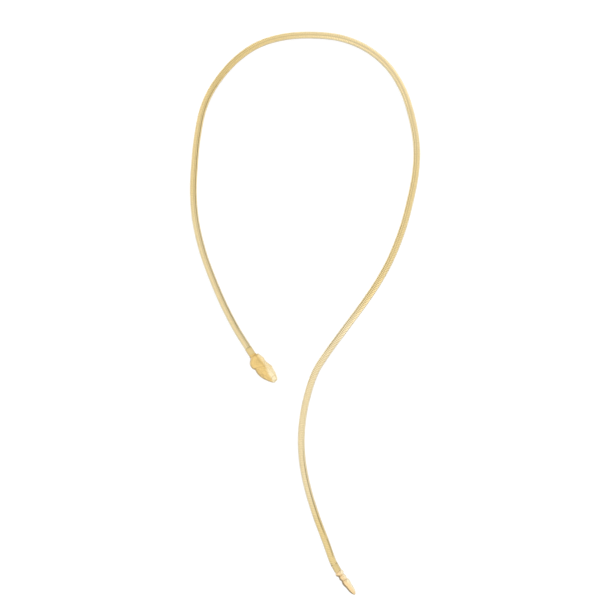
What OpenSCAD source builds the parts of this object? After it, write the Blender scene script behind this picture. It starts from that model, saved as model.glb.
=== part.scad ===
// Snake necklace, laid open on a flat surface, in millimetres.
// +Z is up and z = 0 is the surface. The origin is under the middle of the laid necklace.
// A round snake chain runs into a tubular ferrule at each end. The pegs of a cast snake's head
// and of a cast tail fill the ferrules' other ends. Seen from above, the loop for the neck is at
// +Y and the tail points to -Y.

/* [Chain] */
// Diameter of the round snake chain
chain_d = 4.1; // [3.8:0.1:4.2]
// Diameter of its ends, which are pressed narrower inside the ferrules
chain_end_d = 3.6; // [3.2:0.1:3.7]
// Sides of the tube that the close links form
chain_sides = 12; // [8:1:12]
// Rings of the tube between two points of its route
chain_steps = 2; // [1:1:2]

/* [Ferrules] */
// Length of a ferrule
ferrule_l = 4.5; // [4:0.1:4.6]
// Thickness of a ferrule's wall
ferrule_wall = 0.15; // [0.15:0.05:0.2]
// Radial gap between the chain's end and its ferrule
ferrule_gap = 0.1; // [0.1:0.01:0.12]
// Height of the rim round a ferrule's mouth
rim_h = 0.05; // [0.05:0.05:0.15]
// Length of the rim
rim_l = 0.8; // [0.4:0.1:1.2]
// Length of a casting's peg inside the ferrule
peg_l = 0.5; // [0.3:0.1:0.5]

/* [Head] */
// Length from the middle of the neck ring to the snout
head_l = 20; // [16:0.5:24]
// Width across the jaws
head_w = 9.6; // [8:0.2:12]
// Height from the jaw line to the crest
head_crest = 4; // [3:0.2:5]
// Depth from the jaw line to the underside
head_belly = 2.4; // [2:0.1:3]
// Direction of the snout, from +X
head_turn = -46; // [-60:1:-40]
// Roll of the head about its length, where it lies on its left jaw
head_roll = 18; // [0:1:20]

/* [Tail] */
// Length of the cast tail
tail_l = 16.4; // [14:0.2:20]
// Diameter of the first ring, the widest place
tail_ring_d = 5; // [4.6:0.1:6]
// Diameter of the second ring
tail_second_d = 4.5; // [4.2:0.1:5]
// Diameter of the tip's shoulder
tail_shoulder_d = 4.7; // [4:0.1:5]
// Diameter between the rings
tail_core_d = 3.7; // [3.4:0.1:4]
// Direction of the tail's tip, from +X
tail_turn = -54; // [-70:1:-40]

/* [Hidden] */

pale_gold = [0.86, 0.73, 0.47];
deep_gold = [0.86, 0.66, 0.33];

// Gap between a peg and the chain's end and ferrule's bore, and between a ferrule and the tail
peg_gap = 0.05;
tail_gap = 0.2;
// Depth of a peg in its own casting
peg_root = 0.8;
// The cut that gives the underside of the head its flat
block = 60;

// Route of the chain from the head's end to the tail's end: x, y and lift above the chain's own
// resting height, where an end is carried by its ferrule
route = [
    [-30.35, -22.87, 0.6], [-32.85, -18.87, 0.5], [-39.1, -8.8, 0.25], [-46.4, 5.3, 0.05], [-53, 20.8, 0.01],
    [-58.2, 35.4, 0], [-62, 51.5, 0], [-63.5, 67.7, 0], [-62.9, 83.8, 0], [-61.3, 100, 0],
    [-57.9, 116.5, 0], [-51.4, 130, 0], [-40.4, 143.3, 0], [-27.3, 152.6, 0], [-12.3, 157.3, 0],
    [4, 158.4, 0], [20.2, 156.7, 0], [34.9, 150.8, 0], [47.3, 140.5, 0], [55.9, 126.8, 0],
    [61, 110.8, 0], [63.5, 94.9, 0], [62.8, 79.4, 0], [59.5, 62.8, 0], [55.4, 47.8, 0],
    [49.1, 31.7, 0], [41.7, 18, 0], [32.8, 4.8, 0], [22.6, -9, 0], [12.7, -22.5, 0],
    [5.3, -34.7, 0], [0.2, -51.5, 0], [-2, -67.7, 0], [-1.5, -83.5, 0], [1.5, -99.2, 0.01],
    [6.4, -115.3, 0.04], [11.95, -130.15, 0.22], [14.8, -138.35, 0.36], [16.2, -141.85, 0.45],
    [18.5, -146, 0.45]
];
last = len(route) - 1;

// Cross-sections of the head from its neck ring to its snout. Along and sideways are
// millimetres in a head of the default size, turn is the section's angle in plan, and
// width, crest and belly are shares of the full width, crest and belly above.
head_size = 20;
head_sections = [
    // along, sideways, turn, width, crest, belly
    [-0.3, 1.2, -12, 0.41, 0.49, 0.82],
    [-0.15, 1.17, -12, 0.45, 0.54, 0.9],
    [0.2, 1.1, -12, 0.45, 0.54, 0.9],
    [0.5, 1.05, -12, 0.42, 0.49, 0.82],
    [1, 1.12, -3, 0.58, 0.6, 0.9],
    [1.7, 0.65, 0, 0.73, 0.7, 0.97],
    [2.8, 0.22, 0, 0.86, 0.8, 1],
    [4.6, 0.08, 0, 0.945, 0.86, 1],
    [5.7, 0.08, 0, 0.955, 0.88, 1],
    [6.4, 0.13, 0, 0.91, 0.89, 0.97],
    [7, 0.15, 0, 0.86, 0.9, 0.95],
    [7.5, 0.08, 0, 0.84, 0.92, 0.94],
    [8.2, -0.04, 0, 0.875, 0.95, 0.94],
    [9.6, 0, 0, 0.93, 1, 0.96],
    [11, 0.05, 0, 0.948, 1, 0.95],
    [12.5, 0.05, 0, 0.91, 0.97, 0.92],
    [14, 0.07, 0, 0.845, 0.9, 0.88],
    [15.5, 0.18, 0, 0.75, 0.8, 0.84],
    [17, 0.23, 0, 0.62, 0.68, 0.8],
    [18.3, 0.26, 0, 0.485, 0.56, 0.73],
    [19.2, 0.3, 0, 0.37, 0.43, 0.61],
    [19.75, 0.3, 0, 0.26, 0.3, 0.44],
    [20, 0.3, 0, 0.14, 0.16, 0.25]
];
head_sides = 28;
// Place of the middle of the neck ring from the chain's end, and height of the jaw line
head_from_chain = [-0.15, -1.63];
jaw_z = 2.75;
// Fullness of a section: below 1 is squarer than an ellipse
cheek_full = 0.85;
belly_full = 0.7;

// Middles of the tail's two rings, the roundness of their edges and the place where the tip begins,
// all from the tail's rear face
tail_ring_at = 1.35;
tail_second_at = 4.45;
bead_r = 1.5;
tip_from = 6.1;

// Outline of the tail's tip: a shoulder, a waist and a round end
tip_outline = [
    // share of the tip's length, share of the shoulder's radius
    [0, 0.8], [0.04, 0.88], [0.09, 0.96], [0.15, 1], [0.22, 0.99], [0.29, 0.94],
    [0.36, 0.87], [0.42, 0.82], [0.5, 0.8], [0.6, 0.78], [0.68, 0.74], [0.76, 0.67],
    [0.83, 0.58], [0.89, 0.47], [0.94, 0.34], [0.98, 0.17], [1, 0]
];

chain_r = chain_d / 2;
chain_end_r = chain_end_d / 2;
bore_r = chain_end_r + ferrule_gap;
ferrule_r = bore_r + ferrule_wall;
ferrule_front = peg_gap + peg_l;

// A point of the route, carried on in a straight line past both ends
function route_point(i) =
    i < 0 ? 2 * route[0] - route[1]
    : i > last ? 2 * route[last] - route[last - 1]
    : route[i];

// A point of the smooth curve through the route, a share t of the way from point i to the next
function curve_point(i, t) =
    let (a = route_point(i - 1), b = route_point(i), c = route_point(i + 1), d = route_point(i + 2))
    (2 * b + (c - a) * t + (2 * a - 5 * b + 4 * c - d) * t * t
        + (3 * b - a - 3 * c + d) * t * t * t) / 2
    + [0, 0, chain_r];

// The direction of the same curve there
function curve_way(i, t) =
    let (a = route_point(i - 1), b = route_point(i), c = route_point(i + 1), d = route_point(i + 2))
    (c - a) + 2 * (2 * a - 5 * b + 4 * c - d) * t + 3 * (3 * b - a - 3 * c + d) * t * t;

// Rings of the tube: point of the route, share of the way to the next, and radius. The first and
// last few are inside the ferrules.
pressed = 0.91;
stations = concat(
    [[0, 0, chain_end_r], [0, 0.5, chain_end_r], [0, pressed, chain_end_r]],
    [for (i = [1:last - 2], k = [0:chain_steps - 1]) [i, k / chain_steps, chain_r]],
    [[last - 1, 0, chain_r], [last - 1, 1 - pressed, chain_end_r], [last - 1, 0.5, chain_end_r],
        [last - 1, 1, chain_end_r]]
);

// A ring of the tube with radius r, square to the way that the chain runs
function chain_ring(at, way, r) =
    let (
        side = cross(way, [0, 0, 1]) / norm(cross(way, [0, 0, 1])),
        up = cross(side, way) / norm(way)
    )
    [for (k = [0:chain_sides - 1])
        let (angle = 360 * k / chain_sides)
        at + r * (cos(angle) * side + sin(angle) * up)];

// A closed ring of the head's surface for one row of head_sections
function head_ring(row) =
    let (
        scale_l = head_l / head_size,
        half = row[3] * head_w / 2,
        turned = row[2]
    )
    [for (k = [0:head_sides - 1])
        let (
            angle = 360 * k / head_sides,
            c = cos(angle),
            s = sin(angle),
            across = half * sign(c) * pow(abs(c), cheek_full),
            height = s > 0
                ? row[4] * head_crest * pow(s, cheek_full)
                : -row[5] * head_belly * pow(-s, belly_full)
        )
        [
            row[0] * scale_l - across * sin(turned),
            row[1] * scale_l + across * cos(turned),
            height
        ]];

// A solid through a list of closed rings with equal numbers of points, which run clockwise
// when seen along the list
module skin(rings) {
    n = len(rings[0]);
    m = len(rings);
    walls = [for (j = [0:m - 2], k = [0:n - 1])
        let (a = j * n + k, b = j * n + (k + 1) % n)
        each [[a, b + n, b], [a, a + n, b + n]]];
    rear = [for (k = [0:n - 1]) k];
    front = [for (k = [n - 1:-1:0]) (m - 1) * n + k];
    polyhedron([for (ring = rings) each ring], concat(walls, [rear, front]));
}

// Places its children with their +Z along the end of the route, where the chain stops
module at_route_end(end, before) {
    way = end - before;
    translate(end + [0, 0, chain_r])
        rotate([0, acos(way[2] / norm(way)), atan2(way[1], way[0])])
            children();
}

module chain() {
    rings = [for (at = stations)
        chain_ring(curve_point(at[0], at[1]), curve_way(at[0], at[1]), at[2])];
    color(pale_gold) skin([for (j = [len(rings) - 1:-1:0]) rings[j]]);
}

// A tube over the chain's end, with the rim of its mouth towards -Z
module ferrule() {
    color(pale_gold)
        translate([0, 0, ferrule_front - ferrule_l])
            difference() {
                union() {
                    cylinder(r = ferrule_r, h = ferrule_l, $fn = 48);
                    cylinder(r = ferrule_r + rim_h, h = rim_l, $fn = 48);
                }
                translate([0, 0, -1]) cylinder(r = bore_r, h = ferrule_l + 2, $fn = 48);
            }
}

// The stub behind a casting, from the chain's end to peg_root beyond the ferrule
module peg() {
    translate([0, 0, peg_gap]) cylinder(r = bore_r - peg_gap, h = peg_l + peg_root, $fn = 48);
}

module neck_ferrule() {
    at_route_end(route[0], route[1]) ferrule();
}

module tail_ferrule() {
    at_route_end(route[last], route[last - 1]) ferrule();
}

// The rolled head is cut flat where it lies on the surface
module head() {
    at = route[0] + [head_from_chain[0], head_from_chain[1], 0];
    color(deep_gold) {
        difference() {
            translate([at[0], at[1], jaw_z])
                rotate([0, 0, head_turn])
                    rotate([-head_roll, 0, 0])
                        skin([for (row = head_sections) head_ring(row)]);
            translate([at[0] - block / 2, at[1] - block / 2, -block])
                cube(block);
        }
        at_route_end(route[0], route[1]) peg();
    }
}

// Half of the tail's outline, with its length along +Y, spun to the solid
module tail_outline() {
    square([tail_core_d / 2, tip_from]);
    intersection() {
        union() {
            translate([tail_ring_d / 2 - bead_r, tail_ring_at]) circle(r = bead_r, $fn = 48);
            translate([tail_second_d / 2 - bead_r, tail_second_at]) circle(r = bead_r, $fn = 48);
        }
        square([tail_ring_d, tip_from]);
    }
    polygon(concat(
        [[0, tip_from - bead_r]],
        [for (row = tip_outline)
            [row[1] * tail_shoulder_d / 2, tip_from + row[0] * (tail_l - tip_from)]]
    ));
}

module tail() {
    way = route[last] - route[last - 1];
    at = route[last] + way * (ferrule_front + tail_gap) / norm(way);
    color(deep_gold) {
        translate([at[0], at[1], tail_ring_d / 2])
            rotate([0, 90, tail_turn])
                rotate_extrude($fn = 64) tail_outline();
        at_route_end(route[last], route[last - 1]) peg();
    }
}

chain();
neck_ferrule();
head();
tail_ferrule();
tail();
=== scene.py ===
"""Snake necklace: a round snake chain laid flat, with a cast head, a cast tail and two ferrules."""

import math

import bmesh
import bpy
from mathutils import Matrix, Vector


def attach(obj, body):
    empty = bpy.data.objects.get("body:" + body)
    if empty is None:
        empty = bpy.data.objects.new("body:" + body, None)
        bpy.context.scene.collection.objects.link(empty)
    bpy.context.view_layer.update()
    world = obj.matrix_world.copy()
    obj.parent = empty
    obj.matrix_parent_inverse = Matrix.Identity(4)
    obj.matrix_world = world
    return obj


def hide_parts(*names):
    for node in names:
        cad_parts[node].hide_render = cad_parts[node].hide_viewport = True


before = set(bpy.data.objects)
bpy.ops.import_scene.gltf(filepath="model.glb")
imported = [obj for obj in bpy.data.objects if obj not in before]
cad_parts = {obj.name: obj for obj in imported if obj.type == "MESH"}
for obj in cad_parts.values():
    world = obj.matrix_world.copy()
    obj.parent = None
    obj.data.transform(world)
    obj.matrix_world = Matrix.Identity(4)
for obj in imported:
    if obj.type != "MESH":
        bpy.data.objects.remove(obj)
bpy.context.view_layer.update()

MM = 0.001
UP = Vector((0, 0, 1))
MERGED = 0.0001 * MM

# The chain's route from the head's end to the tail's end, in metres: x, y and lift
CHAIN_R = 2.05 * MM
ROUTE = [Vector(point) * MM for point in (
    (-30.35, -22.87, 0.6), (-32.85, -18.87, 0.5), (-39.1, -8.8, 0.25), (-46.4, 5.3, 0.05), (-53, 20.8, 0.01),
    (-58.2, 35.4, 0), (-62, 51.5, 0), (-63.5, 67.7, 0), (-62.9, 83.8, 0), (-61.3, 100, 0),
    (-57.9, 116.5, 0), (-51.4, 130, 0), (-40.4, 143.3, 0), (-27.3, 152.6, 0), (-12.3, 157.3, 0),
    (4, 158.4, 0), (20.2, 156.7, 0), (34.9, 150.8, 0), (47.3, 140.5, 0), (55.9, 126.8, 0),
    (61, 110.8, 0), (63.5, 94.9, 0), (62.8, 79.4, 0), (59.5, 62.8, 0), (55.4, 47.8, 0),
    (49.1, 31.7, 0), (41.7, 18, 0), (32.8, 4.8, 0), (22.6, -9, 0), (12.7, -22.5, 0),
    (5.3, -34.7, 0), (0.2, -51.5, 0), (-2, -67.7, 0), (-1.5, -83.5, 0), (1.5, -99.2, 0.01),
    (6.4, -115.3, 0.04), (11.95, -130.15, 0.22), (14.8, -138.35, 0.36), (16.2, -141.85, 0.45),
    (18.5, -146, 0.45),
)]
CURVE_STEPS = 40

# The chain's links: rings with a flat crown, sloping sides and a wavy edge
LINK_PITCH = 1.0 * MM
LINK_SIDES = 16
LINK_WAVES = 4
WAVE_HEIGHT = 0.22 * MM
LINK_TOP = 2.035 * MM
LINK_ROOT = 1.74 * MM
LINK_FLAT = 0.33 * MM
LINK_HALF = 0.55 * MM
SHARP_EDGE = math.radians(35)

# How strong the chain's painted highlight is along it: (millimetres from the head's end, share of the pale
# gold)
CHAIN_HIGHLIGHT = [
    (0, 0.68), (80, 0.68), (100, 0.25), (145, 0.2), (165, 0), (195, 0.05), (215, 0.3), (240, 0.6), (265, 0.7),
    (320, 0.62), (340, 0.25), (415, 0.22), (435, 1), (470, 0.9), (540, 0.88), (556, 0.15), (586, 0.1),
]

# How narrow the chain's ends are pressed inside the ferrules, and how far from an end that lasts
PRESSED = 0.87
PRESSED_TO = 3.9 * MM
FULL_FROM = 4.7 * MM

# The ferrules
FERRULE_L = 4.5 * MM
FERRULE_R = 2.05 * MM
BORE_R = 1.9 * MM
RIM_R = 2.1 * MM
RIM_L = 0.8 * MM
FERRULE_FRONT = 0.55 * MM
FERRULE_SIDES = 64
FERRULE_SOFT = 0.08 * MM
SOFT_STEPS = 4

# The pegs of the castings, which fill the ferrules' mouths
PEG_R = 1.85 * MM
PEG_FROM = 0.05 * MM
PEG_TO = 1.35 * MM

# The head, in its own millimetres: x from the neck ring to the snout, y to the snake's left, z up
HEAD_PLACE = Vector((-30.5, -24.5, 2.75)) * MM
HEAD_TURN = math.radians(-46)
HEAD_ROLL = math.radians(-18)
HEAD_HALF = 4.8
HEAD_CREST = 4.0
HEAD_BELLY = 2.4
HEAD_ROWS = 236
HEAD_COLUMNS = 208
HEAD_SECTIONS = [
    # along, sideways, turn, width, crest, belly
    (-0.3, 1.2, -12, 0.0, 0.0, 0.0),
    (-0.28, 1.2, -12, 0.36, 0.44, 0.76),
    (-0.2, 1.18, -12, 0.43, 0.52, 0.87),
    (0.05, 1.13, -12, 0.45, 0.54, 0.9),
    (0.3, 1.08, -12, 0.44, 0.52, 0.87),
    (0.5, 1.05, -12, 0.41, 0.48, 0.8),
    (0.7, 1.07, -9, 0.45, 0.51, 0.83),
    (1.0, 1.12, -3, 0.57, 0.6, 0.9),
    (1.7, 0.65, 0, 0.725, 0.7, 0.96),
    (2.8, 0.22, 0, 0.855, 0.8, 0.99),
    (4.6, 0.08, 0, 0.94, 0.86, 0.99),
    (5.7, 0.08, 0, 0.95, 0.88, 0.99),
    (6.4, 0.13, 0, 0.91, 0.89, 0.97),
    (7.0, 0.15, 0, 0.855, 0.9, 0.95),
    (7.5, 0.08, 0, 0.835, 0.92, 0.94),
    (8.2, -0.04, 0, 0.87, 0.95, 0.94),
    (9.6, 0.0, 0, 0.925, 0.99, 0.96),
    (11.0, 0.05, 0, 0.945, 1.0, 0.95),
    (12.5, 0.05, 0, 0.907, 0.97, 0.92),
    (14.0, 0.07, 0, 0.842, 0.9, 0.88),
    (15.5, 0.18, 0, 0.748, 0.8, 0.84),
    (17.0, 0.23, 0, 0.62, 0.68, 0.8),
    (18.3, 0.26, 0, 0.49, 0.56, 0.73),
    (19.2, 0.3, 0, 0.375, 0.44, 0.61),
    (19.7, 0.3, 0, 0.275, 0.33, 0.46),
    (19.92, 0.3, 0, 0.18, 0.22, 0.32),
    (19.98, 0.3, 0, 0.1, 0.12, 0.18),
    (20.0, 0.3, 0, 0.0, 0.0, 0.0),
]

# Fullness of the head's sections, and the slope and softness of the two planes of its roof
CHEEK_FULL = 0.85
BELLY_FULL = 0.7
ROOF_SLOPE = 0.5
ROOF_EDGE = 8
ROOF_DROP = 0.455
RIDGE_SOFT = 0.07
RIDGE = [
    # along, how far the ridge lies to the snake's left
    (-0.3, 0.0), (0.6, 0.2), (1.6, 1.0), (5, 0.8), (9, 0.45), (12, 0.55), (16, 0.3), (20, 0.0),
]

# How steep the grooves are, and the lines of the head's relief on one side: (x, distance from the middle)
GROOVE_STEEP = 2.5
MEDIAL = [(1.4, 0.0), (9.4, 0.0)]
FRONT_MEDIAL = [(13.9, 0.0), (16.6, 0.0)]
COLLAR = [(6.2, 4.9), (6.45, 3.9), (6.9, 3.0), (7.5, 2.0), (8.4, 1.0), (9.4, 0.0)]
BROW = [(8.0, 3.3), (9.6, 3.25), (11.2, 3.3), (13.2, 3.05), (15.0, 2.55), (16.8, 2.0), (18.4, 1.35)]
FRONTAL = [(9.4, 0.0), (10.6, 1.45), (12.9, 1.15), (13.9, 0.0)]
PLATE_BACK = [(10.6, 1.45), (10.3, 3.2)]
PLATE_FRONT = [(12.9, 1.15), (13.6, 2.9)]
SNOUT_LINE = [(16.6, 0.0), (16.8, 1.0), (17.3, 1.9)]
RELIEF_LINES = [
    # line, depth, width, strength of its painted shade
    (MEDIAL, 0.16, 0.3, 0.45),
    (FRONT_MEDIAL, 0.08, 0.24, 0.25),
    (COLLAR, 0.1, 0.3, 0.3),
    (BROW, 0.1, 0.3, 0.3),
    (FRONTAL, 0.07, 0.22, 0.25),
    (PLATE_BACK, 0.07, 0.22, 0.25),
    (PLATE_FRONT, 0.07, 0.22, 0.25),
    (SNOUT_LINE, 0.12, 0.26, 0.45),
]

# Where the roof of the head and its relief begin and end, and how much of the roof ends
ROOF_BEGINS = (0.8, 3.2)
ROOF_ENDS = (17.5, 19.5)
ROOF_END_SHARE = 0.6
RELIEF_BEGINS = (0.7, 1.6)
RELIEF_ENDS = (19.2, 19.8)

# An eye on a cheek: its middle, radius and dome, the ring round it with its painted shade, and how far out
# the cheeks begin
EYE = (12.0, 1.5)
EYE_R = 0.75
EYE_DOME = 0.3
EYE_RING = 1.15
EYE_RING_WIDTH = 0.26
EYE_RING_DEPTH = 0.14
EYE_RING_DARK = 0.4
EYE_SIDE = 3.3

# The nostrils: place, how long for their width, width and depth
NOSTRIL = (18.6, 1.1)
NOSTRIL_LONG = 1.3
NOSTRIL_WIDTH = 0.24
NOSTRIL_DEPTH = 0.16

# The mouth line: height, width, depth, the strength of its painted shade and where it begins
MOUTH_Z = -0.35
MOUTH_WIDTH = 0.28
MOUTH_DEPTH = 0.2
MOUTH_DARK = 0.9
MOUTH_BEGINS = (7.6, 8.6)

# The notch in each side behind the cheek, and the groove at the neck ring, both darkened with painted shade
NOTCH_AT = 6.15
NOTCH_SLANT = 0.45
NOTCH_WIDTH = 0.45
NOTCH_DEPTH = 0.16
NOTCH_DARK = 0.5
NOTCH_SOFT = 0.5
NECK_GROOVE_AT = 0.6
NECK_GROOVE_WIDTH = 0.35
NECK_GROOVE_DARK = 0.2

# The small scales: their size, their height on the neck and the crown, and where they begin and end
SCALE_LONG = 1.5
SCALE_WIDE = 1.35
SCALE_NECK = 0.03
SCALE_CROWN = 0.08
NECK_SCALES_BEGIN = (1.6, 3.0)
NECK_SCALES_END = (6.6, 7.2)
CROWN_SCALES_BEGIN = (7.4, 8.2)
CROWN_SCALES_END = (9.8, 10.6)
CROWN_SIDE = (2.9, 3.3)

# The painted highlight, the paler part of the head on its lit side: its edge, the edge's softness, and its
# strength behind and in front
HIGHLIGHT_EDGE = [
    # along, distance from the middle to the snake's left where the painted highlight begins
    (0, 1.6), (4.6, 1.3), (9.1, 0.9), (11.4, -0.6), (13.7, -1.1), (16, -1.3), (18.2, -1.8), (20, -2.6),
]
HIGHLIGHT_SOFT = 0.7
HIGHLIGHT_REAR = 0.55
HIGHLIGHT_FRONT = (10, 15)

# The tail, in its own millimetres from its rear face
TAIL_TURN = math.radians(-54)
TAIL_GAP = 0.2 * MM
TAIL_L = 16.4
TAIL_RING_R = 2.5
TAIL_CORE_R = 1.85
TAIL_SIDES = 96

# Its two rings, the grooves beside them with their painted shade, and the six flat sides of the second
BEAD_R = 1.5
TAIL_BEADS = [
    # middle and radius
    (1.35, 2.5),
    (4.45, 2.25),
]
TAIL_BEADS_STEPS = 44
TAIL_GROOVES = (0.0, 2.9, 6.05)
TAIL_GROOVE_WIDTH = 0.4
TAIL_GROOVE_DARK = 0.7
NUT_AT = 4.45
NUT_HALF = 1.5
NUT_SOFT = 0.4
NUT_EDGE = 14
NUT_SIDES = [
    # direction round the ring in degrees, distance from the middle as a share of the radius
    (30, 0.88), (150, 0.88), (210, 0.88), (330, 0.88), (90, 0.95), (270, 0.95),
]

# How far to the left of its middle, on the side toward the light, the tail's painted highlight begins, and is
# full
TAIL_HIGHLIGHT = (0.1, 1.5)

# The tail's tip, behind the rings
TAIL_TIP_FROM = 6.1
TAIL_TIP_R = 2.35
TAIL_TIP = [
    # share of the tip's length, share of the shoulder's radius
    (0, 0.8), (0.02, 0.86), (0.04, 0.9), (0.09, 0.97), (0.15, 1), (0.22, 0.99), (0.29, 0.94),
    (0.36, 0.87), (0.42, 0.82), (0.5, 0.8), (0.6, 0.78), (0.68, 0.74), (0.76, 0.67),
    (0.83, 0.58), (0.89, 0.47), (0.94, 0.34), (0.98, 0.18), (0.995, 0.07), (1, 0),
]

# The view of the photo, from straight above
FIELD = 342 * MM
VIEW_CENTRE = Vector((-2.85, 7.62, 0)) * MM
LENS = 120
SENSOR = 36
SEES_TO = 20

# The floor: its size, its own light, its white, and how far below it the mirrored floor lies
FLOOR_SIZE = 4.0
FLOOR_GLOW = 0.88
FLOOR_WHITE = 0.15
MIRRORED_WHITE = 0.73
FLOOR_STEP = 0.02 * MM
MATT = 0.9

# The white tent: its brightness low down and at the top, and its brighter and dimmer patches
LOW_GLOW = 1.06
TOP_GLOW = 1.3
PATCHES = [
    # azimuth, height, added brightness, cosines of the angles where it begins and is full
    (45, 8, 0.16, 0.78, 0.98),
    (-112, 30, 0.12, 0.85, 0.98),
    (-66, 14, -0.06, 0.85, 0.98),
]

# The dimmer round place overhead, where the camera stands
DIM_PLACE = Vector((45, 165, 600)) * MM
DIM_GLOW = 0.87
DIM_FROM = 90 * MM
DIM_TO = 290 * MM
DIM_SIZE = 1.0

# The grey sheets that lie on the floor beside the castings, in millimetres
SHEETS = [
    # name, brightness, start and end of the edge under the casting, width
    ("head_shade", 0.72, (-30.2, -24.8, 0), (-13, -42.6, 0), 40),
    ("tail_shade", 0.46, (18.2, -147.5, 0), (36, -166, 0), 30),
]
SHEET_LIFT = 0.01 * MM

# The key light, whose shadows only the metal mirrors
KEY_AZIMUTH = 85
KEY_HEIGHT = 22
KEY_DISTANCE = 1.2
KEY_SIZE = 0.3
KEY_POWER = 19

# The grey cards and white strips that stand round the necklace, in millimetres
CARDS = [
    # name, brightness, ends of the middle line, height, the place that it faces
    ("neck_card", 0.41, (-17.5, 0, 10), (-20.5, 116, 28), 27, (-61, 60, 0)),
    ("neck_end_card", 0.62, (-26.5, -18.5, 5), (-33, -5.5, 5), 6, (-36.5, -14, 2)),
    ("tail_card", 0.41, (41, -118, 28), (41, -81, 36), 30, (5, -108, 0)),
    ("tail_end_card", 0.62, (22.5, -136.5, 5), (19, -126, 5), 6, (14, -136, 2)),
    ("tail_side_card", 0.46, (12.9, -153.8, 4.2), (25.8, -171.6, 4.2), 8.4, (24, -155, 4)),
    ("bend_card", 0.9, (-75, 145, 15), (-45, 173, 15), 30, (-42, 142, 2)),
    ("low_strip", 1.66, (77, 0, 16), (52, -38, 16), 20, (31, 4, 2)),
    ("right_strip", 1.66, (73, 169, 6), (95, 131, 6), 12, (50, 130, 2)),
    ("top_strip", 1.66, (1, 117, 33), (26, 111, 33), 20, (17, 154, 2)),
]


class Shade:
    """A value in a material's nodes. Arithmetic on it adds Math nodes."""

    def __init__(self, tree, socket=None):
        self.tree = tree
        self.socket = socket

    def node(self, kind, settings=None, sockets=None, out=0):
        """A new node of a kind, with its settings and its sockets' values or links."""
        made = self.tree.nodes.new("ShaderNode" + kind)
        for name, value in (settings or {}).items():
            setattr(made, name, value)
        for name, value in (sockets or {}).items():
            if isinstance(value, Shade):
                self.tree.links.new(value.socket, made.inputs[name])
            else:
                made.inputs[name].default_value = value
        return Shade(self.tree, made.outputs[out])

    def maths(self, operation, first, second=0.0):
        return self.node("Math", {"operation": operation}, {0: first, 1: second})

    def __add__(self, other):
        return self.maths("ADD", self, other)

    __radd__ = __add__

    def __mul__(self, other):
        return self.maths("MULTIPLY", self, other)

    __rmul__ = __mul__

    def __sub__(self, other):
        return self.maths("SUBTRACT", self, other)

    def __rsub__(self, other):
        return self.maths("SUBTRACT", other, self)

    def mix(self, low, high):
        """The colour low where this value is 0, and high where it is 1."""
        return self.node("Mix", {"data_type": "RGBA"}, {0: self, 6: low, 7: high}, out=2)


def rgb(red, green, blue):
    return (red, green, blue, 1)


def new_material(name):
    material = bpy.data.materials.new(name)
    material.use_nodes = True
    tree = material.node_tree
    return material, tree.nodes["Principled BSDF"], Shade(tree)


# The clear lacquer over the plating
LACQUER = 1.0
LACQUER_ROUGHNESS = 0.12

# The cloudiness and the grain of the plating, and how much duller the recesses are
CLOUD_SCALE = 700.0
CLOUD_DETAIL = 3.0
CLOUD_SHARE = 0.16
GRAIN_SCALE = 9000.0
GRAIN_DETAIL = 2.0
GRAIN_DULLS = 0.08
GRAIN_HEIGHT = 0.02 * MM
RECESS_DULLS = 0.22

# The gold of the painted shade in the recesses of the castings, and the paler gold of the painted highlight
# on the head's lit side
PAINTED_SHADE_GOLD = rgb(0.33, 0.20, 0.07)
PAINTED_HIGHLIGHT_GOLD = rgb(0.80, 0.69, 0.44)


def gold(name, bright, painted_shade_colour, roughness, grain, painted_highlight=PAINTED_HIGHLIGHT_GOLD):
    """Plated gold: paler where a highlight is painted, darker in the recesses with painted shade, and duller
    there.
    """
    material, shader, shade = new_material(name)
    place = shade.node("TexCoord", out=3)
    recess = shade.node("Attribute", {"attribute_name": "recess"}, out=2)
    highlight_share = shade.node("Attribute", {"attribute_name": "painted_highlight"}, out=2)
    cloud = shade.node("TexNoise", None, {"Vector": place, "Scale": CLOUD_SCALE, "Detail": CLOUD_DETAIL})
    fine = shade.node("TexNoise", None, {"Vector": place, "Scale": GRAIN_SCALE, "Detail": GRAIN_DETAIL})
    tone = shade.maths("MINIMUM", recess + cloud * CLOUD_SHARE, 1.0)
    # The base colour carries painted light: darker in the recesses as painted shade, paler where the painted
    # highlight lies
    base = highlight_share.mix(tone.mix(bright, painted_shade_colour), painted_highlight)
    rough = recess * RECESS_DULLS + fine * GRAIN_DULLS + (roughness - GRAIN_DULLS / 2)
    bump = shade.node("Bump", None, {"Strength": grain, "Distance": GRAIN_HEIGHT, "Height": fine})
    links = shade.tree.links
    links.new(base.socket, shader.inputs["Base Color"])
    links.new(rough.socket, shader.inputs["Roughness"])
    links.new(bump.socket, shader.inputs["Normal"])
    shader.inputs["Metallic"].default_value = 1.0
    shader.inputs["Coat Weight"].default_value = LACQUER
    shader.inputs["Coat Roughness"].default_value = LACQUER_ROUGHNESS
    return material


# Each gold's second colour is its painted shade, and its last colour, where given, its painted highlight
CHAIN_GOLD = gold("chain_gold", rgb(0.785, 0.63, 0.29), rgb(0.50, 0.355, 0.16), 0.2, 0.1,
                  painted_highlight=rgb(0.785, 0.68, 0.44))
FERRULE_GOLD = gold("ferrule_gold", rgb(0.62, 0.475, 0.205), rgb(0.34, 0.24, 0.10), 0.24, 0.08)
HEAD_GOLD = gold("head_gold", rgb(0.71, 0.495, 0.165), PAINTED_SHADE_GOLD, 0.24, 0.1)
TAIL_GOLD = gold("tail_gold", rgb(0.80, 0.585, 0.30), PAINTED_SHADE_GOLD, 0.22, 0.08, painted_highlight=rgb(0.83, 0.70, 0.46))


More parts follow.
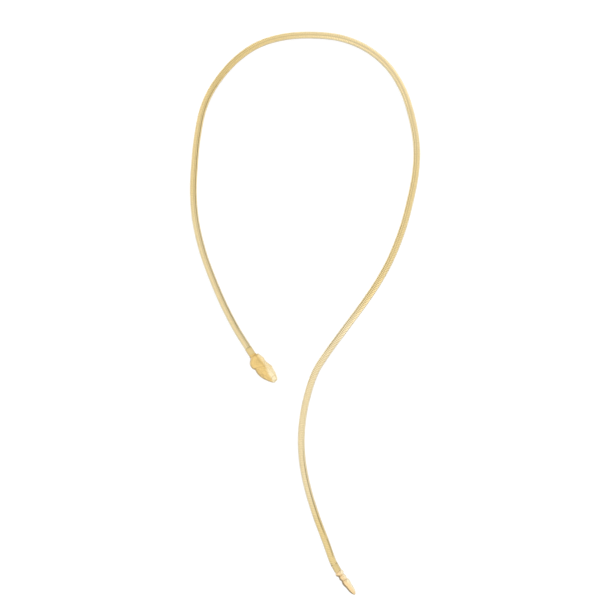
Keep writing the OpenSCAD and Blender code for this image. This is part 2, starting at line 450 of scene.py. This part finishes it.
def finished(name, bm, material, slot, *nodes):
    """Makes a piece of a bmesh, in place, and says what it rides on and stands for."""
    mesh = bpy.data.meshes.new(name)
    bm.to_mesh(mesh)
    bm.free()
    mesh.materials.append(material)
    piece = bpy.data.objects.new(name, mesh)
    bpy.context.scene.collection.objects.link(piece)
    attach(piece, "root")
    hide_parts(*nodes)
    return piece


def smooth(low, high, value):
    """0 below low, 1 above high and an even slope between."""
    t = min(1.0, max(0.0, (value - low) / (high - low)))
    return t * t * (3 - 2 * t)


def route_point(i):
    if i < 0:
        return 2 * ROUTE[0] - ROUTE[1]
    if i >= len(ROUTE):
        return 2 * ROUTE[-1] - ROUTE[-2]
    return ROUTE[i]


def curve_point(i, t):
    a, b, c, d = (route_point(i + k) for k in (-1, 0, 1, 2))
    bent = (2 * b + (c - a) * t + (2 * a - 5 * b + 4 * c - d) * t * t
            + (3 * b - a - 3 * c + d) * t * t * t) / 2
    return bent + UP * CHAIN_R


def route_line():
    """The chain's middle line as close points."""
    points = [curve_point(i, k / CURVE_STEPS)
              for i in range(len(ROUTE) - 1) for k in range(CURVE_STEPS)]
    return points + [curve_point(len(ROUTE) - 2, 1)]


def standing(at, way):
    """The matrix that takes +X along way, with +Z as near up as it can be, and the origin to at."""
    x = way.normalized()
    y = UP.cross(x).normalized()
    turn = Matrix((x, y, x.cross(y))).transposed().to_4x4()
    return Matrix.Translation(at) @ turn


def even_places(points, pitch):
    """Places and directions at an even pitch along a line of points."""
    lengths = [0.0]
    for a, b in zip(points, points[1:]):
        lengths.append(lengths[-1] + (b - a).length)
    count = round(lengths[-1] / pitch)
    step = lengths[-1] / count
    places, i = [], 0
    for k in range(count):
        along = (k + 0.5) * step
        while lengths[i + 1] < along:
            i += 1
        way = points[i + 1] - points[i]
        share = (along - lengths[i]) / (lengths[i + 1] - lengths[i])
        before, after = points[max(0, i - 3)], points[min(len(points) - 1, i + 4)]
        places.append((points[i] + way * share, after - before))
    return places


def spun(outline, sides, close):
    """The outline's (along, radius) points spun about X. A closed outline makes a ring."""
    bm = bmesh.new()
    verts = [bm.verts.new((x, 0, r)) for x, r in outline]
    edges = [bm.edges.new(pair) for pair in zip(verts, verts[1:])]
    if close:
        edges.append(bm.edges.new((verts[-1], verts[0])))
    bmesh.ops.spin(bm, geom=verts + edges, cent=(0, 0, 0), axis=(1, 0, 0), angle=math.tau,
                   steps=sides, use_merge=True)
    bmesh.ops.remove_doubles(bm, verts=bm.verts, dist=MERGED)
    bmesh.ops.recalc_face_normals(bm, faces=bm.faces)
    for face in bm.faces:
        face.smooth = True
    return bm


def link():
    """One wavy link round X. Its low edges are recessed and take the painted shade, and its crown takes the
    pale gold of the painted highlight.
    """
    bm = spun([(-LINK_HALF, LINK_ROOT), (-LINK_FLAT, LINK_TOP), (LINK_FLAT, LINK_TOP),
               (LINK_HALF, LINK_ROOT)], LINK_SIDES, True)
    recess = bm.verts.layers.float.new("recess")
    painted_highlight = bm.verts.layers.float.new("painted_highlight")
    for vert in bm.verts:
        # The low edges take the painted shade, the crown the painted highlight
        low = vert.co.yz.length < (LINK_ROOT + LINK_TOP) / 2
        vert[recess] = 1.0 if low else 0.0
        vert[painted_highlight] = 1 - vert[recess]
        vert.co.x += WAVE_HEIGHT * math.cos(LINK_WAVES * math.atan2(vert.co.z, vert.co.y))
    for edge in bm.edges:
        edge.smooth = edge.calc_face_angle(0) < SHARP_EDGE
    return bm


def chain():
    """The links in a row along the route, narrower in the ferrules and with a painted highlight of the
    strength listed along the chain.
    """
    one = bpy.data.meshes.new("link")
    shape = link()
    shape.to_mesh(one)
    shape.free()
    bm = bmesh.new()
    places = even_places(route_line(), LINK_PITCH)
    for k, (at, way) in enumerate(places):
        from_end = (min(k, len(places) - 1 - k) + 0.5) * LINK_PITCH
        grow = PRESSED + (1 - PRESSED) * smooth(PRESSED_TO, FULL_FROM, from_end)
        before = len(bm.verts)
        bm.from_mesh(one)
        bm.verts.ensure_lookup_table()
        narrowed = standing(at, way) @ Matrix.Diagonal((1, grow, grow, 1))
        bmesh.ops.transform(bm, matrix=narrowed, verts=bm.verts[before:])
        painted_highlight = bm.verts.layers.float["painted_highlight"]
        # The painted highlight's strength at this link
        pale = on_line(CHAIN_HIGHLIGHT, (k + 0.5) * LINK_PITCH / MM)
        for vert in bm.verts[before:]:
            vert[painted_highlight] *= pale
    bpy.data.meshes.remove(one)
    return finished("snake_chain", bm, CHAIN_GOLD, "chain_gold", "chain")


def soft_corner(x, r, turn):
    """A quarter circle in an outline, inside its corner (x, r), from the face on the left or right."""
    points = []
    for k in range(SOFT_STEPS + 1):
        angle = math.pi / 2 * k / SOFT_STEPS
        points.append((x + turn * FERRULE_SOFT * (1 - math.sin(angle)),
                       r - FERRULE_SOFT * (1 - math.cos(angle))))
    return points


def ferrule(name, end, before, node):
    """The tube at an end of the chain, with a round rim at its mouth."""
    mouth = soft_corner(0, RIM_R, 1)[::-1]
    rear = soft_corner(FERRULE_L, FERRULE_R, -1)
    bm = spun([(0, BORE_R), *mouth, (RIM_L - FERRULE_SOFT, RIM_R), (RIM_L, FERRULE_R), *rear,
               (FERRULE_L, BORE_R)], FERRULE_SIDES, True)
    recess = bm.verts.layers.float.new("recess")
    # The bore takes the painted shade
    for vert in bm.verts:
        bore = vert.co.yz.length < (BORE_R + FERRULE_R) / 2
        vert[recess] = 1.0 if bore else 0.0
    for edge in bm.edges:
        edge.smooth = edge.calc_face_angle(0) < SHARP_EDGE
    way = end - before
    start = end + UP * CHAIN_R + way.normalized() * (FERRULE_FRONT - FERRULE_L)
    bmesh.ops.transform(bm, matrix=standing(start, way), verts=bm.verts)
    return finished(name, bm, FERRULE_GOLD, "ferrule_gold", node)


def head_section(x):
    """The row of HEAD_SECTIONS at x, on smooth curves through the rows."""
    rows = HEAD_SECTIONS
    i = max(k for k in range(len(rows) - 1) if rows[k][0] <= x or k == 0)
    a, b, c, d = (rows[min(len(rows) - 1, max(0, i + k))] for k in (-1, 0, 1, 2))
    span = c[0] - b[0]
    t = min(1.0, max(0.0, (x - b[0]) / span))
    values = []
    for k in range(1, 6):
        slope_b = (c[k] - a[k]) / max(1e-6, c[0] - a[0]) * span
        slope_c = (d[k] - b[k]) / max(1e-6, d[0] - b[0]) * span
        step = c[k] - b[k]
        limit = 3 * abs(step)
        slope_b = max(-limit, min(limit, slope_b)) if slope_b * step > 0 else 0
        slope_c = max(-limit, min(limit, slope_c)) if slope_c * step > 0 else 0
        values.append(b[k] + slope_b * (t - 2 * t * t + t ** 3) + step * (3 * t * t - 2 * t ** 3)
                      + slope_c * (t ** 3 - t * t))
    return values


def groove(distance, width):
    """A round-bottomed groove: 1 in its middle and near 0 from width on."""
    return math.exp(-(distance / width) ** 2 * GROOVE_STEEP)


def line_distance(x, y, points):
    """The distance from (x, y) to a line of points."""
    best = math.inf
    for (ax, ay), (bx, by) in zip(points, points[1:]):
        dx, dy = bx - ax, by - ay
        t = min(1.0, max(0.0, ((x - ax) * dx + (y - ay) * dy) / (dx * dx + dy * dy)))
        best = min(best, math.hypot(x - ax - t * dx, y - ay - t * dy))
    return best


def scales(x, y):
    """Small scales in diagonal rows: 1 on their middles and 0 between them."""
    a, b = x / SCALE_LONG, y / SCALE_WIDE
    return abs(math.sin(math.pi * (a + b)) * math.sin(math.pi * (a - b)))


def head_relief(x, y, z):
    """How far the surface stands out at a place on the head, and how much painted shade it takes in its
    grooves.
    """
    away = abs(y)
    out, recess = 0.0, 0.0
    if z > 0:
        for line, depth, width, dark in RELIEF_LINES:
            cut = groove(line_distance(x, away, line), width)
            out -= depth * cut
            recess = max(recess, dark * cut)
        neck = smooth(*NECK_SCALES_BEGIN, x) * (1 - smooth(*NECK_SCALES_END, x))
        crown = smooth(*CROWN_SCALES_BEGIN, x) * (1 - smooth(*CROWN_SCALES_END, x))
        crown *= 1 - smooth(*CROWN_SIDE, away)
        out += (neck * SCALE_NECK + crown * SCALE_CROWN) * scales(x, y)
        from_nostril = math.hypot((x - NOSTRIL[0]) / NOSTRIL_LONG, away - NOSTRIL[1])
        nostril = groove(from_nostril, NOSTRIL_WIDTH)
        out -= NOSTRIL_DEPTH * nostril
        recess = max(recess, nostril)
    if away > EYE_SIDE:
        slanted = x - NOTCH_AT - (HEAD_HALF - away) * NOTCH_SLANT
        notch = groove(slanted, NOTCH_WIDTH) * smooth(EYE_SIDE, EYE_SIDE + NOTCH_SOFT, away)
        out -= NOTCH_DEPTH * notch
        recess = max(recess, NOTCH_DARK * notch)
        eye = math.hypot(x - EYE[0], z - EYE[1])
        ring = groove(eye - EYE_R * EYE_RING, EYE_RING_WIDTH)
        out += EYE_DOME * math.sqrt(max(0.0, 1 - (eye / EYE_R) ** 2)) - EYE_RING_DEPTH * ring
        recess = max(recess, EYE_RING_DARK * ring)
    mouth = groove(z - MOUTH_Z, MOUTH_WIDTH) * smooth(*MOUTH_BEGINS, x)
    out -= MOUTH_DEPTH * mouth
    recess = max(recess, MOUTH_DARK * mouth)
    return out, recess


def on_line(points, x):
    """The height at x of a line of (x, height) points."""
    for (ax, ay), (bx, by) in zip(points, points[1:]):
        if x <= bx:
            return ay + (by - ay) * (x - ax) / (bx - ax)
    return points[-1][1]


def head_point(x, angle):
    """A place on the head's surface, its painted shade and its painted highlight, at x along it and at an
    angle.
    """
    shift, turn, width, crest, belly = head_section(x)
    c, s = math.cos(angle), math.sin(angle)
    t = abs(c) ** CHEEK_FULL
    away = width * HEAD_HALF * math.copysign(t, c)
    y = away
    if s >= 0:
        y += on_line(RIDGE, x) * (1 - t)
        soft = math.hypot(t, RIDGE_SOFT) - RIDGE_SOFT
        roof = (1 - ROOF_SLOPE * soft) * max(0.0, 1 - t ** ROOF_EDGE) ** ROOF_DROP
        dome = s ** CHEEK_FULL
        roofed = smooth(*ROOF_BEGINS, x) * (1 - ROOF_END_SHARE * smooth(*ROOF_ENDS, x))
        z = crest * HEAD_CREST * (dome + (roof - dome) * roofed)
    else:
        z = -belly * HEAD_BELLY * (-s) ** BELLY_FULL
    fade = smooth(*RELIEF_BEGINS, x) * (1 - smooth(*RELIEF_ENDS, x))
    out, recess = head_relief(x, away, z)
    grow = 1 + out * fade / max(math.hypot(y, z), 1.0)
    turned = math.radians(turn)
    flat = Vector((x - y * math.sin(turned), shift + y * math.cos(turned) * grow, z * grow))
    # Painted shade in the relief's grooves and at the neck ring
    recess = max(recess * fade, NECK_GROOVE_DARK * groove(x - NECK_GROOVE_AT, NECK_GROOVE_WIDTH))
    # The painted highlight: paler gold on the snake's left, the side toward the light
    edge = on_line(HIGHLIGHT_EDGE, x)
    strength = HIGHLIGHT_REAR + (1 - HIGHLIGHT_REAR) * smooth(*HIGHLIGHT_FRONT, x)
    painted_highlight = strength * smooth(edge - HIGHLIGHT_SOFT, edge + HIGHLIGHT_SOFT, away) if z > 0 else 0.0
    return flat, recess, painted_highlight * (1 - recess)


def add_peg(bm, end, before):
    """The round stub of a casting in its ferrule's mouth."""
    made = bmesh.ops.create_cone(bm, cap_ends=True, segments=FERRULE_SIDES,
                                 radius1=PEG_R, radius2=PEG_R, depth=PEG_TO - PEG_FROM)
    way = end - before
    middle = end + UP * CHAIN_R + way.normalized() * (PEG_FROM + PEG_TO) / 2
    lying = standing(middle, way) @ Matrix.Rotation(math.pi / 2, 4, "Y")
    bmesh.ops.transform(bm, matrix=lying, verts=made["verts"])


def head():
    """The cast head: a ball drawn out into the sections, with its relief pressed in."""
    bm = bmesh.new()
    bmesh.ops.create_uvsphere(bm, u_segments=HEAD_COLUMNS, v_segments=HEAD_ROWS, radius=1)
    recess = bm.verts.layers.float.new("recess")
    painted_highlight = bm.verts.layers.float.new("painted_highlight")
    first, last = HEAD_SECTIONS[0][0], HEAD_SECTIONS[-1][0]
    place = (Matrix.Translation(HEAD_PLACE) @ Matrix.Rotation(HEAD_TURN, 4, "Z")
             @ Matrix.Rotation(HEAD_ROLL, 4, "X"))
    for vert in bm.verts:
        share = math.acos(max(-1, min(1, -vert.co.z))) / math.pi
        flat, depth, highlight_share = head_point(first + (last - first) * share, math.atan2(vert.co.y, vert.co.x))
        # Each place's painted shade and painted highlight
        vert[recess] = depth
        vert[painted_highlight] = highlight_share
        vert.co = place @ (flat * MM)
        vert.co.z = max(vert.co.z, 0)
    for face in bm.faces:
        face.smooth = True
    add_peg(bm, ROUTE[0], ROUTE[1])
    bmesh.ops.recalc_face_normals(bm, faces=bm.faces)
    return finished("snake_head", bm, HEAD_GOLD, "head_gold", "head")


def tail_outline():
    """The tail's (along, radius) outline from its rear face to its tip: two rings, then the tip."""
    points = [(0, 0)]
    for k in range(TAIL_BEADS_STEPS):
        x = TAIL_TIP_FROM * k / TAIL_BEADS_STEPS
        r = TAIL_CORE_R
        for middle, radius in TAIL_BEADS:
            off = abs(x - middle) / BEAD_R
            if off < 1:
                r = max(r, radius - BEAD_R + BEAD_R * math.sqrt(1 - off * off))
        points.append((x, r))
    length = TAIL_L - TAIL_TIP_FROM
    return points + [(TAIL_TIP_FROM + along * length, share * TAIL_TIP_R) for along, share in TAIL_TIP]


def nut(angle):
    """The radius of a six-sided ring with soft edges, as a share of its corners' radius."""
    total = 0.0
    for side, distance in NUT_SIDES:
        toward = math.cos(angle - math.radians(side)) / distance
        total += max(0.0, toward) ** NUT_EDGE
    return min(1.0, total ** (-1 / NUT_EDGE))


def tail():
    """The cast tail, spun from its outline: its second ring is six-sided, and its left side paler with a
    painted highlight.
    """
    bm = spun([(x * MM, r * MM) for x, r in tail_outline()], TAIL_SIDES, False)
    recess = bm.verts.layers.float.new("recess")
    painted_highlight = bm.verts.layers.float.new("painted_highlight")
    for vert in bm.verts:
        x = vert.co.x / MM
        # Painted shade in the grooves beside the rings, and a painted highlight on the left side, toward the
        # light
        vert[recess] = TAIL_GROOVE_DARK * max(groove(x - place, TAIL_GROOVE_WIDTH) for place in TAIL_GROOVES)
        vert[painted_highlight] = smooth(*TAIL_HIGHLIGHT, vert.co.y / MM) * (1 - vert[recess])
        r = vert.co.yz.length / MM
        if abs(x - NUT_AT) < NUT_HALF and r > 0:
            near = 1 - smooth(NUT_HALF - NUT_SOFT, NUT_HALF, abs(x - NUT_AT))
            flat = r * nut(math.atan2(vert.co.z, vert.co.y))
            shaped = max(min(r, TAIL_CORE_R), flat)
            vert.co.yz *= (r + (shaped - r) * near) / r
    way = ROUTE[-1] - ROUTE[-2]
    at = ROUTE[-1] + way.normalized() * (FERRULE_FRONT + TAIL_GAP)
    at.z = TAIL_RING_R * MM
    heading = Vector((math.cos(TAIL_TURN), math.sin(TAIL_TURN), 0))
    bmesh.ops.transform(bm, matrix=standing(at, heading), verts=bm.verts)
    add_peg(bm, ROUTE[-1], ROUTE[-2])
    bmesh.ops.recalc_face_normals(bm, faces=bm.faces)
    return finished("snake_tail", bm, TAIL_GOLD, "tail_gold", "tail")


chain()
ferrule("neck_ferrule_tube", ROUTE[0], ROUTE[1], "neck_ferrule")
ferrule("tail_ferrule_tube", ROUTE[-1], ROUTE[-2], "tail_ferrule")
head()
tail()


def plain_material(name, base, glow):
    """An even matt surface with a light of its own."""
    material, shader, _ = new_material(name)
    shader.inputs["Base Color"].default_value = rgb(base, base, base)
    shader.inputs["Roughness"].default_value = MATT
    shader.inputs["Specular IOR Level"].default_value = 0.0
    shader.inputs["Emission Color"].default_value = rgb(1, 1, 1)
    shader.inputs["Emission Strength"].default_value = glow
    return material


def sheet(name, width, height, place, material):
    """A flat rectangle of the studio."""
    bm = bmesh.new()
    bmesh.ops.create_grid(bm, x_segments=1, y_segments=1, size=0.5)
    bmesh.ops.scale(bm, vec=(width, height, 1), verts=bm.verts)
    bmesh.ops.transform(bm, matrix=place, verts=bm.verts)
    mesh = bpy.data.meshes.new(name)
    bm.to_mesh(mesh)
    bm.free()
    mesh.materials.append(material)
    flat = bpy.data.objects.new(name, mesh)
    bpy.context.scene.collection.objects.link(flat)
    return flat


def only_mirrored(thing):
    """Hides a thing of the studio from all but the metal."""
    thing.visible_camera = False
    thing.visible_diffuse = False
    thing.visible_shadow = False


def floors():
    """The white floor that is seen, and under it the one that the metal mirrors, with its shadows."""
    pale = plain_material("pale_floor", FLOOR_WHITE, FLOOR_GLOW)
    seen = sheet("floor", FLOOR_SIZE, FLOOR_SIZE, Matrix(), pale)
    seen.visible_glossy = False
    seen.visible_diffuse = False
    seen.visible_shadow = False
    under = Matrix.Translation(-UP * FLOOR_STEP)
    matt = plain_material("matt_floor", MIRRORED_WHITE, 0)
    mirrored = sheet("mirrored_floor", FLOOR_SIZE, FLOOR_SIZE, under, matt)
    mirrored.visible_camera = False


def card(name, glow, start, end, height, facing):
    """A card or strip that only the metal mirrors, standing on the line from start to end."""
    start, end, facing = Vector(start) * MM, Vector(end) * MM, Vector(facing) * MM
    middle = (start + end) / 2
    along = (end - start).normalized()
    back = (middle - facing).normalized()
    back = (back - along * back.dot(along)).normalized()
    turn = Matrix((along, back.cross(along), back)).transposed().to_4x4()
    place = Matrix.Translation(middle) @ turn
    only_mirrored(sheet(name, (end - start).length, height * MM, place, plain_material(name, 0, glow)))


def lying_sheet(name, glow, start, end, width):
    """A sheet on the floor, at the right-hand side of the line from start to end, only mirrored."""
    start, end, width = Vector(start) * MM, Vector(end) * MM, width * MM
    along = (end - start).normalized()
    out = along.cross(UP)
    middle = (start + end) / 2 + out * width / 2 + UP * SHEET_LIFT
    place = Matrix.Translation(middle) @ Matrix((along, -out, UP)).transposed().to_4x4()
    only_mirrored(sheet(name, (end - start).length, width, place, plain_material(name, 0, glow)))


def overhead():
    """The top of the tent, dimmer at one place."""
    material, shader, shade = new_material("overhead")
    place = shade.node("TexCoord", out=3)
    away = shade.node("VectorMath", {"operation": "DISTANCE"}, {0: place, 1: DIM_PLACE}, out=1)
    glow = shade.node("MapRange", {"interpolation_type": "SMOOTHSTEP"},
                      {"Value": away, "From Min": DIM_FROM, "From Max": DIM_TO,
                       "To Min": DIM_GLOW, "To Max": TOP_GLOW})
    shader.inputs["Base Color"].default_value = rgb(0, 0, 0)
    shader.inputs["Specular IOR Level"].default_value = 0.0
    shader.inputs["Emission Color"].default_value = rgb(1, 1, 1)
    shade.tree.links.new(glow.socket, shader.inputs["Emission Strength"])
    only_mirrored(sheet("overhead", DIM_SIZE, DIM_SIZE, Matrix.Translation(DIM_PLACE), material))


def direction(azimuth, height):
    """The way toward a place in the sky, from its azimuth and height in degrees."""
    a, h = math.radians(azimuth), math.radians(height)
    return Vector((math.cos(a) * math.cos(h), math.sin(a) * math.cos(h), math.sin(h)))


def key_light():
    """A soft light from the right and behind, for the shadows that the metal mirrors."""
    lamp = bpy.data.lights.new("key", "AREA")
    lamp.size = KEY_SIZE
    lamp.energy = KEY_POWER
    light = bpy.data.objects.new("key", lamp)
    bpy.context.scene.collection.objects.link(light)
    out = direction(KEY_AZIMUTH, KEY_HEIGHT)
    light.location = VIEW_CENTRE + out * KEY_DISTANCE
    light.rotation_euler = out.to_track_quat("Z", "Y").to_euler()
    light.visible_camera = False
    light.visible_glossy = False


def studio():
    """A white tent with a few brighter and dimmer patches."""
    world = bpy.data.worlds.new("studio")
    bpy.context.scene.world = world
    world.use_nodes = True
    shade = Shade(world.node_tree)
    way = shade.node("TexCoord", out=0)
    height = shade.node("SeparateXYZ", None, {0: way}, out=2)
    strength = height * (TOP_GLOW - LOW_GLOW) + LOW_GLOW
    for azimuth, rise, added, begins, full in PATCHES:
        toward = shade.node("VectorMath", {"operation": "DOT_PRODUCT"},
                            {0: way, 1: direction(azimuth, rise)}, out=1)
        strength += shade.node("MapRange", {"interpolation_type": "SMOOTHSTEP"},
                               {"Value": toward, "From Min": begins, "From Max": full,
                                "To Max": added})
    background = world.node_tree.nodes["Background"]
    background.inputs["Color"].default_value = rgb(1, 1, 1)
    world.node_tree.links.new(strength.socket, background.inputs["Strength"])


def camera():
    """The camera, which looks straight down as the photo does."""
    lens = bpy.data.cameras.new("camera")
    lens.lens = LENS
    lens.sensor_width = SENSOR
    lens.clip_end = SEES_TO
    eye = bpy.data.objects.new("camera", lens)
    bpy.context.scene.collection.objects.link(eye)
    eye.location = VIEW_CENTRE + UP * (FIELD * LENS / SENSOR)
    bpy.context.scene.camera = eye


floors()
studio()
key_light()
overhead()
for row in CARDS:
    card(*row)
for row in SHEETS:
    lying_sheet(*row)
camera()
bpy.context.scene.view_settings.view_transform = "Standard"
